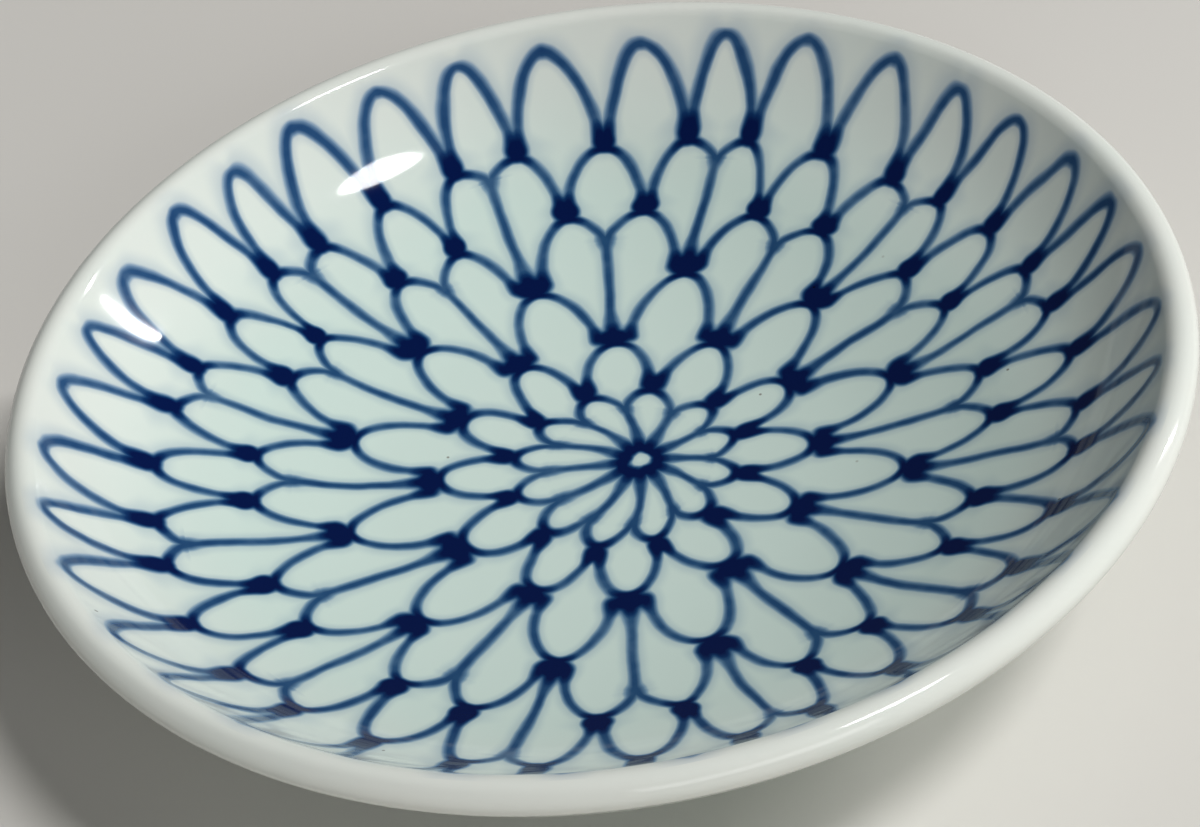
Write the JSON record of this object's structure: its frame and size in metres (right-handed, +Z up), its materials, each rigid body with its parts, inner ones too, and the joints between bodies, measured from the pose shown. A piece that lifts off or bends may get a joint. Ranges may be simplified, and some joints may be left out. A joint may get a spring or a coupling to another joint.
{
  "type": "soy sauce dish",
  "caption": "Shallow round porcelain dish on a turned foot ring, glazed pale green-white and painted inside in cobalt with overlapping chrysanthemum petals, for soy sauce or dips.",
  "frame": {"origin": "on the dish's axis, on the plane that its foot ring stands on", "axes": "+Z up along the dish's axis; +X to the right and +Y away, as the picture looks at the dish"},
  "size_m": [0.1, 0.1, 0.022],
  "materials": {
    "porcelain": "matt fired clay",
    "bare_foot": "bare, wiped and slightly gritty",
    "glaze": "clear gloss with a faint green tint",
    "cobalt": "hand-brushed colour under a gloss"
  },
  "bodies": {
    "root": {"porcelain_body": "porcelain", "foot_ring": "bare_foot", "inner_glaze": "glaze", "outer_glaze": "glaze", "base_glaze": "glaze", "flower_eye": "cobalt", "petal_row_1": "cobalt", "petal_row_2": "cobalt", "petal_row_3": "cobalt", "petal_row_4": "cobalt", "petal_row_5": "cobalt", "petal_row_6": "cobalt"}
  },
  "joints": []
}
